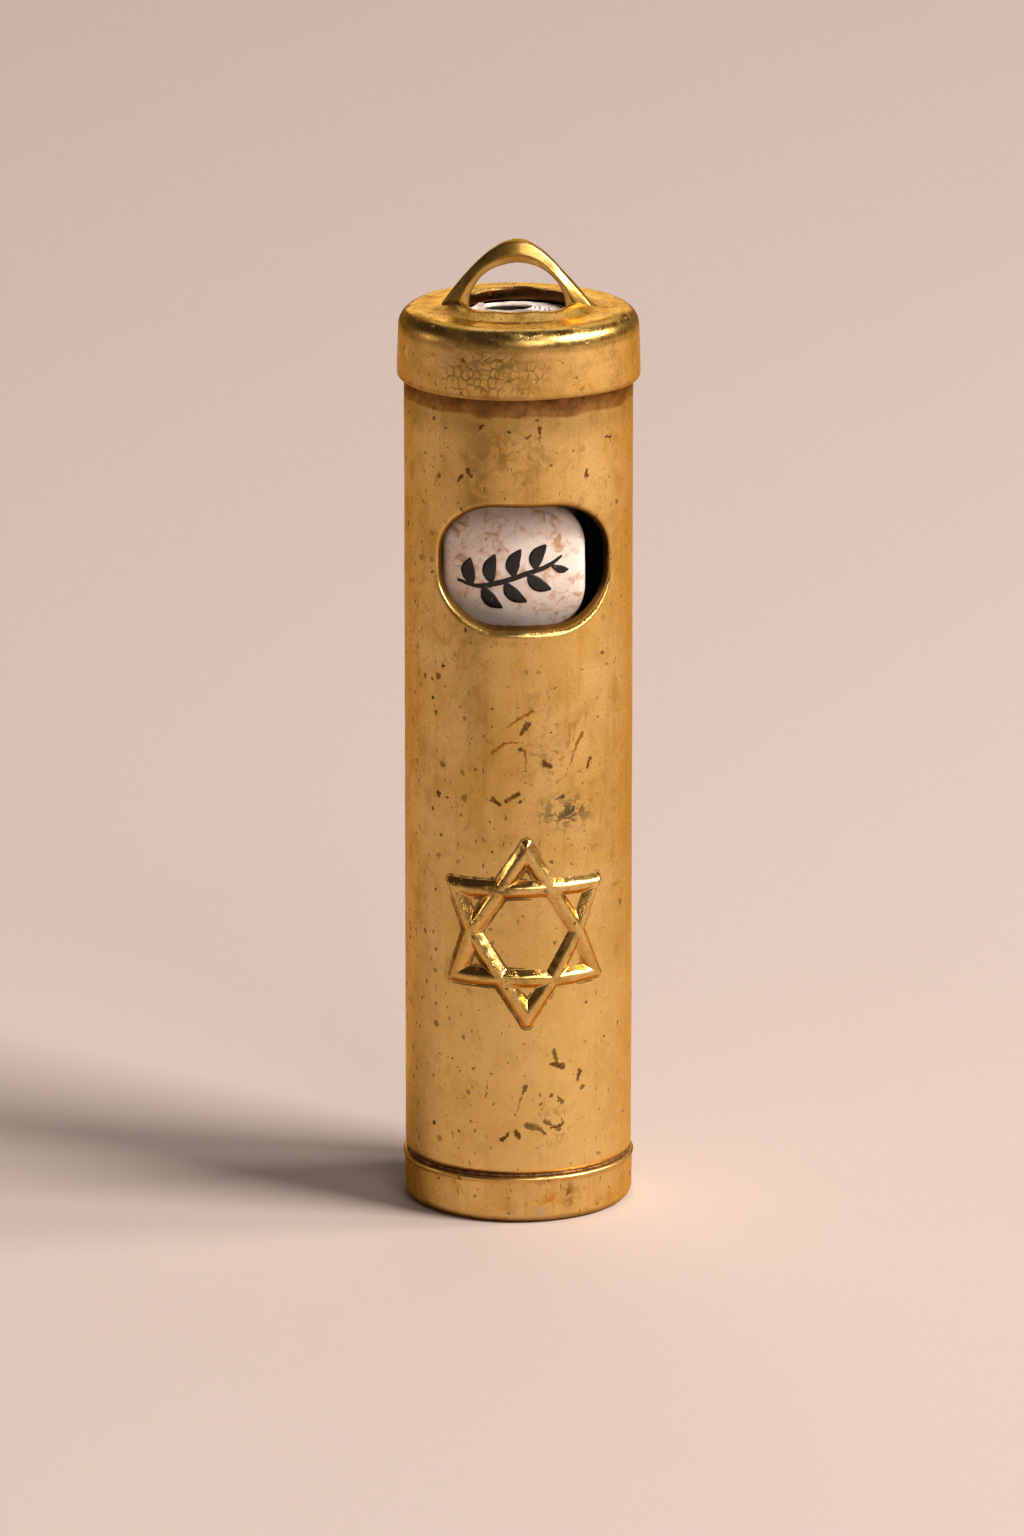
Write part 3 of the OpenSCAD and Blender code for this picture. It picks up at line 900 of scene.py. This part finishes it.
def brass(name, rough=0.30, density=1.0, cloud=0.5, bands=(), patches=(), marks=(), gloss_attr=None,
          crazed=None, inner=None, tone=1.0, flat=True):
    """worn gilt brass: clouded gold with dark pits, scratches and stains.
    bands:   (low, high, softness, colour, amount, raggedness) round the piece
    patches: (middle, half sizes, colour, amount, noise that shows from, noise that is full at, grain)
    marks:   (colour, [strokes]), a stroke being two ends and two half widths
    crazed:  (middle, half sizes) of a net of fine cracks
    inner:   (radius it starts at, radius it is full at, amount) of the dark brown inside: partly oxide, partly painted shade"""
    m = Mat(name)
    gold, pale, deep = (tuple(c * tone for c in g[:3]) + (1.0,) for g in (GOLD, GOLD_PALE, GOLD_DEEP))
    big = m.noise(7.0, 3, 0.5, 0.6)
    mid = m.noise(1.9, 5, 0.6, 0.4)
    small = m.noise(0.28, 3, 0.6)
    grain = m.noise(0.07, 2, 0.6)
    col = m.mix(m.ramp(big, 0.35, 0.7), gold, pale)
    col = m.mix(m.times(m.ramp(mid, 0.48, 0.76), cloud), col, deep)
    streak = m.noise(1.0, 4, 0.6, 0.0, m.stretch(1.9, 1.9, 0.12))
    col = m.mix(m.times(m.ramp(streak, 0.50, 0.74), 0.34), col, deep)
    col = m.mix(m.ramp(grain, 0.3, 0.8, 0.0, 0.14), col, (0.42, 0.24, 0.07, 1))
    rgh = m.ramp(mid, 0.3, 0.75, rough - 0.06, rough + 0.09)
    rgh = m.math("ADD", rgh, m.ramp(small, 0.3, 0.8, -0.03, 0.05))
    dark = pits(m, density, flat)
    scratch = scratches(m)
    col = m.mix(m.times(scratch, 0.35), col, (0.40, 0.23, 0.07, 1))
    stain = m.times(m.ramp(m.noise(3.2, 6, 0.68, 1.2), 0.58, 0.72), 0.6)
    col = m.mix(stain, col, (0.44, 0.20, 0.045, 1))
    for low, high, soft, colour, amount, ragged in bands:
        z = m.math("MULTIPLY_ADD", m.math("SUBTRACT", m.noise(2.4, 6, 0.6, 0.4), 0.5), ragged, m.axis(2))
        f = m.times(m.ramp(z, low - soft, low + soft), m.ramp(z, high + soft, high - soft))
        f = m.times(f, m.ramp(m.noise(0.9, 5, 0.7), 0.3, 0.6, amount, amount * 0.6))
        col = m.mix(f, col, colour)
        rgh = m.math("MULTIPLY_ADD", f, 0.12, rgh)
    for centre, size, colour, amount, lo, hi, grit in patches:
        f = m.times(m.near(centre, size), m.ramp(m.noise(grit, 6, 0.72, 0.8), lo, hi))
        f = m.times(f, amount)
        col = m.mix(f, col, colour)
        rgh = m.math("MULTIPLY_ADD", f, 0.15, rgh)
    if marks:
        ragged = m.warped(m.p, 0.42, 0.50)
        blot = m.ramp(m.noise(0.35, 4, 0.7), 0.25, 0.55, 0.5, 0.95)
        for colour, strokes in marks:
            f = None
            for ends in strokes:
                f = m.most(f, m.stroke(ragged, *ends))
            f = m.times(f, blot)
            col = m.mix(f, col, colour)
            rgh = m.math("MULTIPLY_ADD", f, 0.15, rgh)
    if crazed:
        place = m.vec("MULTIPLY", m.warped(m.wrapped(), 0.8, 0.5), (1.0, 0.75, 1.0))
        net = m.cells(0.50, place, "DISTANCE_TO_EDGE", 0.8, True)
        f = m.times(m.ramp(net.outputs["Distance"], 0.18, 0.05), m.ramp(m.near(*crazed), 0.0, 0.4))
        f = m.times(f, m.ramp(m.noise(0.9, 4, 0.65), 0.34, 0.58, 0.0, 0.65))
        dark = m.most(dark, f)
    # painted shade mixed with oxide: dark brown growing towards the axis, on inner walls and turned-in edges
    if inner:
        f = m.ramp(m.radius(), inner[0], inner[1], 0.0, inner[2])
        col = m.mix(f, col, (0.085, 0.034, 0.012, 1))
        rgh = m.math("MULTIPLY_ADD", f, 0.15, rgh)
    if gloss_attr:
        g = m.node("Attribute", attribute_name=gloss_attr).outputs["Fac"]
        col = m.mix(m.times(g, 0.6), col, (0.74, 0.46, 0.15, 1))
        rgh = m.mixf(g, rgh, 0.22)
        dark = m.times(dark, m.math("MULTIPLY_ADD", g, -0.8, 1.0))
    col = m.mix(m.times(dark, 0.92), col, BROWN)
    rgh = m.mixf(m.times(dark, 0.85), rgh, 0.62)
    m.b.inputs["Specular Tint"].default_value = (0.90, 0.66, 0.36, 1.0)
    nb = m.bump(mid, 0.10, 0.35)
    nb = m.bump(small, 0.06, 0.10, nb)
    sunk = m.most(dark, m.times(scratch, 0.35))
    nb = m.bump(m.math("SUBTRACT", 1.0, sunk), 0.35, 0.10, nb)
    return m.finish(col, rgh, nb, m.mixf(m.times(dark, 0.9), 1.0, 0.25))


def paint(ob, mat):
    ob.data.materials.clear()
    ob.data.materials.append(mat)


def on_tube(way_round, z):
    """the place on the tube's face that is this far round from the front, and this high"""
    a = way_round / TUBE_R
    return (TUBE_R * math.sin(a), -TUBE_R * math.cos(a), z)


def scuffs(draw, count, way_round, height, reach, length, width, steps=1):
    """strokes on the tube at random places round a middle, each a few steps long and wider at its end"""
    strokes = []
    for _ in range(count):
        s, z = way_round + reach[0] * draw.uniform(-1, 1), height + reach[1] * draw.uniform(-1, 1)
        slant, thick = draw.uniform(0, 2 * math.pi), width * draw.uniform(0.6, 1.2)
        for k in range(steps):
            step = length * draw.uniform(0.5, 1.0)
            s_end, z_end = s + step * math.cos(slant), z + step * math.sin(slant)
            strokes.append((on_tube(s, z), on_tube(s_end, z_end),
                            thick * (k + 0.6) / steps, thick * (k + 1) / steps))
            s, z, slant = s_end, z_end, slant + draw.uniform(-0.6, 0.6)
    return strokes


UMBER = (0.15, 0.070, 0.022, 1.0)
SOOT = (0.10, 0.078, 0.055, 1.0)
RUST = (0.36, 0.16, 0.035, 1.0)
OLIVE = (0.23, 0.15, 0.05, 1.0)

ABOVE_STAR = star_hi[2] + 5.5
BELOW_STAR = (star_lo[2] + foot_h) / 2
UNDER_CAP = cap_low - 4.0
wear = random.Random(31)
umber_marks = (scuffs(wear, 5, 1.5, ABOVE_STAR, (3.5, 4.0), 1.0, 0.26)
               + scuffs(wear, 5, 0.5, BELOW_STAR, (4.5, 3.8), 0.8, 0.24)
               + scuffs(wear, 7, 1.0, UNDER_CAP, (6.5, 2.6), 0.6, 0.20))
rust_marks = (scuffs(wear, 4, 0.5, ABOVE_STAR, (3.5, 3.0), 1.3, 0.20, steps=3)
              + scuffs(wear, 2, -2.0, BELOW_STAR, (1.5, 2.5), 2.4, 0.08))
soot_marks = scuffs(wear, 2, 2.6, star_hi[2] + 2.0, (1.2, 1.4), 0.5, 0.24)
olive_marks = (scuffs(wear, 2, 2.2, BELOW_STAR, (0.8, 2.6), 1.1, 0.30, steps=2)
               + scuffs(wear, 4, 1.5, BELOW_STAR, (2.2, 3.4), 0.8, 0.24))
# copper tarnish under the cap, and a darker copy of it that is painted shade under the cap's rim
copper_painted_shade, copper_tarnish = (0.10, 0.030, 0.012, 1.0), (0.28, 0.090, 0.034, 1.0)
tube_mat = brass(
    "gilt_brass_tube", 0.30, 1.0, 0.6,
    bands=((-1.0, 20.0, 7.0, (0.86, 0.60, 0.235, 1), 0.75, 6.0),
           (cap_low - 1.22, cap_low + 4.0, 0.12, copper_tarnish, 0.97, 0.9),
           # darker copy of the copper band nearest the cap's rim: painted shade under the cap
           (cap_low - 0.75, cap_low + 4.0, 0.40, copper_painted_shade, 0.85, 2.2),
           (cap_low - 2.6, cap_low, 0.9, OLIVE, 0.45, 1.6),
           (0.0, foot_h + 0.24, 0.12, UMBER, 0.8, 0.3)),
    patches=((on_tube(3.0, star_hi[2] + 1.7), (3.6, 3.0, 1.9), SOOT, 0.9, 0.45, 0.57, 0.6),
             (on_tube(1.0, ABOVE_STAR + 2.0), (2.6, 3.0, 6.5), (0.24, 0.18, 0.10, 1), 0.65, 0.48, 0.66, 0.9),
             (on_tube(1.5, ABOVE_STAR), (3.0, 3.0, 2.5), UMBER, 0.7, 0.58, 0.64, 0.45),
             # a tall, ragged darker strip a little left of the front: painted reflection
             (on_tube(-3.5, WIN_Z + 2.5), (1.9, 3.0, 24.0), (0.34, 0.22, 0.06, 1), 0.75, 0.30, 0.62, 1.8),
             (on_tube(-1.0, UNDER_CAP), (5.5, 3.0, 3.6), (0.30, 0.19, 0.055, 1), 0.7, 0.44, 0.62, 1.1),
             (on_tube(2.0, BELOW_STAR - 2.0), (2.6, 3.0, 3.6), (0.30, 0.17, 0.05, 1), 0.5, 0.50, 0.60, 0.8),
             (on_tube(-4.5, STAR_Z - 3.5), (2.5, 3.0, 2.0), UMBER, 0.7, 0.52, 0.62, 0.9)),
    marks=((RUST, rust_marks), (OLIVE, olive_marks), (SOOT, soot_marks), (UMBER, umber_marks)),
    # the bore and the window's turned-in edge darken inwards: oxide with painted shade
    inner=(TUBE_R - 0.14, TUBE_R - 0.60, 0.75))
paint(tube, tube_mat)
foot_mat = brass(
    "gilt_brass_foot", 0.30, 0.9, 0.65,
    bands=((foot_h - 0.5, foot_h + 0.3, 0.15, (0.50, 0.28, 0.09, 1), 0.5, 0.3),
           (-1.0, 0.45, 0.2, (0.26, 0.13, 0.045, 1), 0.75, 0.5)),
    patches=((on_tube(3.2, foot_h * 0.55), (0.9, 2.0, 1.5), (0.20, 0.085, 0.022, 1), 0.9, 0.38, 0.55, 0.9),
             (on_tube(1.6, foot_h * 0.5), (1.6, 2.0, 1.0), (0.62, 0.26, 0.03, 1), 0.85, 0.42, 0.58, 1.0),
             (on_tube(0.9, foot_h * 0.25), (0.7, 2.0, 0.7), (0.50, 0.46, 0.42, 1), 0.9, 0.40, 0.56, 0.5),
             (on_tube(-2.0, foot_h * 0.2), (4.5, 3.0, 0.5), (0.46, 0.40, 0.34, 1), 0.6, 0.50, 0.62, 0.5)))
paint(foot, foot_mat)
FRONT = -8.0                    # y of the tube's face, for patches that aren't wrapped on it
CAP_SIDE = cap_low + 2.66
CAP_EDGE = CAP_TOP + 0.14
cap_mat = brass(
    "gilt_brass_cap", 0.24, 1.1, 0.75,
    bands=((cap_low - 1.0, cap_low + 0.35, 0.15, (0.30, 0.15, 0.05, 1), 0.6, 0.5),
           # a dark band round the cap's shoulder: painted reflection
           (CAP_TOP - 1.5, CAP_TOP - 0.45, 0.25, (0.26, 0.17, 0.055, 1), 0.75, 0.7)),
    patches=(((-2.2, FRONT, CAP_SIDE), (4.6, 3.0, 2.0), (0.24, 0.16, 0.055, 1), 0.8, 0.42, 0.60, 0.8),
             ((-6.0, -1.0, CAP_EDGE), (2.5, 4.0, 1.0), (0.34, 0.24, 0.14, 1), 0.7, 0.42, 0.62, 0.9),
             ((6.0, 0.0, CAP_EDGE), (2.5, 5.0, 1.0), (0.40, 0.24, 0.09, 1), 0.6, 0.42, 0.62, 0.9),
             ((0.0, 0.0, CAP_TOP), (6.2, 5.4, 0.9), (0.16, 0.105, 0.035, 1), 0.8, 0.36, 0.54, 0.7)),
    # inner darkens the hole's wall: oxide with painted shade
    crazed=((-2.4, FRONT, CAP_SIDE - 0.9), (5.2, 4.0, 2.3)), inner=(HOLE_R + 0.10, HOLE_R + 0.02, 0.95))
paint(cap, cap_mat)
paint(bail, brass("cast_brass_bail", 0.33, 1.4, 0.85, tone=0.72, flat=False))
paint(mounds, brass("grimed_solder_mounds", 0.46, 1.8, 0.95, tone=0.50, flat=False))
star_mat = brass(
    "cast_brass_star", 0.31, 1.5, 0.75, gloss_attr="flank",
    patches=(((0.0, FRONT - 0.4, STAR_Z), (9.0, 3.0, 9.0), (0.24, 0.16, 0.05, 1), 0.75, 0.52, 0.62, 0.9),
             ((-2.0, FRONT - 0.4, STAR_Z + 3.2), (2.6, 3.0, 1.6), (0.17, 0.11, 0.035, 1), 0.85, 0.42, 0.56,
              0.6)))
paint(star, star_mat)


def uneven_solder(name, grain, dark, light, metal, rough, relief):
    """dull solder: two shades, two degrees of metal and of gloss, mixed by one noise"""
    m = Mat(name)
    n = m.noise(grain, 5, 0.65, 0.6)
    return m.finish(m.mix(m.ramp(n, 0.35, 0.7), dark, light), m.ramp(n, 0.3, 0.8, *rough),
                    m.bump(n, *relief), m.ramp(n, 0.4, 0.75, *metal))


def scuffed_black():
    """matt black with dusty scuffs"""
    m = Mat("scuffed_black")
    n1 = m.noise(0.9, 5, 0.7, 0.5)
    n2 = m.noise(0.35, 3, 0.6, 0.3, m.stretch(1.0, 1.0, 0.35))
    scuff = m.times(m.ramp(n2, 0.58, 0.68), m.ramp(n1, 0.42, 0.55))
    base = m.mix(m.ramp(n1, 0.3, 0.7), (0.15, 0.142, 0.138, 1), (0.25, 0.235, 0.22, 1))
    return m.finish(m.mix(scuff, base, (0.62, 0.60, 0.57, 1)), m.ramp(n1, 0.3, 0.7, 0.38, 0.55),
                    m.bump(n1, 0.25, 0.06))


def foxed_white():
    """a satin white pebble with brown foxing and specks"""
    m = Mat("white_plaque")
    n1 = m.noise(2.6, 4, 0.6, 0.8)
    n2 = m.noise(0.9, 6, 0.72, 0.6)
    n3 = m.noise(0.16, 3, 0.6)
    base = m.mix(m.ramp(n1, 0.3, 0.7), srgb(232, 219, 209), srgb(220, 201, 187))
    fox = m.times(m.ramp(n2, 0.47, 0.64), m.ramp(n1, 0.36, 0.56))
    base = m.mix(m.times(fox, 0.8), base, srgb(178, 128, 76))
    cell = m.cells(0.85, m.stretch(1, 1, 1.1))
    some = m.ramp(m.split(cell.outputs["Color"])[0], 0.80, 0.84)
    speck = m.times(m.ramp(cell.outputs["Distance"], 0.15, 0.06), some)
    base = m.mix(m.times(speck, 0.8), base, srgb(150, 92, 44))
    m.b.inputs["Subsurface Weight"].default_value = 0.12
    m.b.inputs["Subsurface Radius"].default_value = (0.0012, 0.0007, 0.0004)
    return m.finish(base, m.ramp(n3, 0.3, 0.8, 0.36, 0.46), m.bump(n3, 0.06, 0.04))


def worn_ink():
    """black ink, rubbed brown in places"""
    m = Mat("black_ink")
    n1 = m.noise(0.5, 5, 0.7)
    n2 = m.noise(0.22, 3, 0.7)
    worn = m.times(m.ramp(n1, 0.63, 0.70), m.ramp(n2, 0.5, 0.6))
    base = m.mix(m.ramp(n1, 0.3, 0.7), (0.012, 0.011, 0.011, 1), (0.030, 0.027, 0.025, 1))
    return m.finish(m.mix(worn, base, (0.30, 0.16, 0.08, 1)), m.ramp(n2, 0.3, 0.7, 0.30, 0.45),
                    m.bump(n2, 0.15, 0.03))


def aged_parchment():
    """tan sides darker than the paler sheet edges at the top, partly the parchment's tone and partly painted
    shade, and a dark core that is painted shade
    """
    m = Mat("aged_parchment")
    n1 = m.noise(1.4, 5, 0.6, 0.5)
    n2 = m.noise(0.18, 3, 0.6, 0.0, m.stretch(1, 1, 0.3))
    at_end = m.ramp(m.axis(2), ROLL_TOP - 0.25, ROLL_TOP - 0.1)
    # sides a darker tan than the top end: partly the parchment's own tone, partly painted shade
    side_c = m.mix(m.ramp(n1, 0.3, 0.7), srgb(205, 168, 122), srgb(176, 132, 88))
    end_c = m.mix(m.ramp(n1, 0.35, 0.7), srgb(236, 226, 220), srgb(196, 172, 156))
    # painted shade: the walls of the hollow core turn almost black below the top
    core = m.near((core_c[0], core_c[1], ROLL_TOP - 8.0), (core_rx * 1.6, core_ry * 1.6, 60.0))
    core = m.times(core, m.ramp(m.axis(2), ROLL_TOP - 0.02, ROLL_TOP - 0.12))
    side_c = m.mix(m.ramp(core, 0.0, 0.12), side_c, (0.035, 0.016, 0.009, 1))
    return m.finish(m.mix(at_end, side_c, end_c), m.ramp(n2, 0.3, 0.7, 0.6, 0.75), m.bump(n2, 0.3, 0.05))


paint(seam, uneven_solder("dark_solder", 0.5, (0.055, 0.022, 0.008, 1), (0.32, 0.15, 0.045, 1),
                          (0.35, 0.95), (0.62, 0.40), (0.5, 0.06)))
paint(star_seam, uneven_solder("star_seam_brass", 0.7, (0.30, 0.19, 0.08, 1), (0.15, 0.09, 0.035, 1),
                               (0.75, 0.4), (0.36, 0.5), (0.3, 0.05)))
paint(liner, scuffed_black())
paint(plaque, foxed_white())
paint(sprig, worn_ink())
parchment = aged_parchment()
paint(roll, parchment)
paint(tailob, parchment)

paint(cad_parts["bottom_sleeve"], brass("oxidised_sleeve", 0.5, 1.2, 0.9, tone=0.5))

# ---- floor, light and camera ----
floor_me = bpy.data.meshes.new("floor")
HALF = 3.0
corners = [(-HALF, -HALF, 0), (HALF, -HALF, 0), (HALF, HALF, 0), (-HALF, HALF, 0)]
floor_me.from_pydata(corners, [], [(0, 1, 2, 3)])
floor = bpy.data.objects.new("floor", floor_me)
bpy.context.scene.collection.objects.link(floor)
plain = Mat("plain_pale_floor")
paint(floor, plain.finish((0.48, 0.40, 0.366, 1.0), 0.85, plain.bump(plain.noise(0.5, 3, 0.6), 0.15, 0.1)))

# a dim room: a little light round the horizon, dark overhead
world = bpy.data.worlds.new("studio")
bpy.context.scene.world = world
world.use_nodes = True
wt = world.node_tree
bg = wt.nodes["Background"]
height = add_node(wt, "SeparateXYZ", {0: add_node(wt, "TexCoord", {}).outputs["Generated"]}).outputs[2]
up = add_node(wt, "MapRange", {"Value": height, "From Min": 0.02, "From Max": 0.50,
                               "To Min": 0.32, "To Max": 0.06}, interpolation_type="SMOOTHSTEP")
put(wt, bg, 1, up.outputs[0])
put(wt, bg, 0, (0.86, 0.74, 0.66, 1.0))

MIDDLE = Vector((0, 0, 0.034))


def softbox(name, azimuth, elevation, distance, size, power, colour):
    """an area light; azimuth 0 is the front and 90 the right"""
    a, e = math.radians(azimuth), math.radians(elevation)
    way = Vector((math.sin(a) * math.cos(e), -math.cos(a) * math.cos(e), math.sin(e)))
    li = bpy.data.lights.new(name, "AREA")
    li.shape = "RECTANGLE"
    li.size, li.size_y = size
    li.energy = power
    li.color = colour
    ob = bpy.data.objects.new(name, li)
    ob.location = MIDDLE + way * distance
    ob.rotation_euler = (-way).to_track_quat("-Z", "Y").to_euler()
    ob.visible_camera = False
    bpy.context.scene.collection.objects.link(ob)


softbox("key", 62, 42, 1.50, (0.55, 0.55), 29.5, (1.0, 0.95, 0.90))
softbox("side", 92, 34, 0.80, (0.17, 0.17), 2.5, (1.0, 0.95, 0.90))
softbox("fill_left", -97, 12, 0.34, (0.04, 0.10), 0.07, (1.0, 0.88, 0.70))
softbox("fill_front", 14, 34, 0.80, (0.30, 0.26), 1.35, (1.0, 0.94, 0.88))
softbox("overhead", 166, 48, 0.70, (0.55, 0.42), 0.62, (1.0, 0.94, 0.88))
softbox("back", 176, 14, 0.75, (0.40, 0.20), 0.30, (1.0, 0.94, 0.90))

# the camera's distance, pitch and turn, and the place it looks at: a height, and a little to the left
DIST, PITCH, AZ, TARGET_Z, ASIDE = 0.8, math.radians(15.2), math.radians(-4.0), 0.03109, 0.000457
LENS = 266.4
back = Vector((math.sin(AZ) * math.cos(PITCH), -math.cos(AZ) * math.cos(PITCH), math.sin(PITCH)))
right = Vector((math.cos(AZ), math.sin(AZ), 0))
target = Vector((0, 0, TARGET_Z)) - right * ASIDE
cam_data = bpy.data.cameras.new("camera")
cam_data.lens = LENS
cam_data.sensor_width = 36.0
cam_data.sensor_fit = "AUTO"
cam_data.clip_start = 0.01
cam = bpy.data.objects.new("camera", cam_data)
cam.location = target + back * DIST
cam.rotation_euler = (-back).to_track_quat("-Z", "Y").to_euler()
bpy.context.scene.collection.objects.link(cam)
bpy.context.scene.camera = cam
bpy.context.scene.view_settings.view_transform = "Standard"
bpy.context.scene.view_settings.look = "Medium High Contrast"
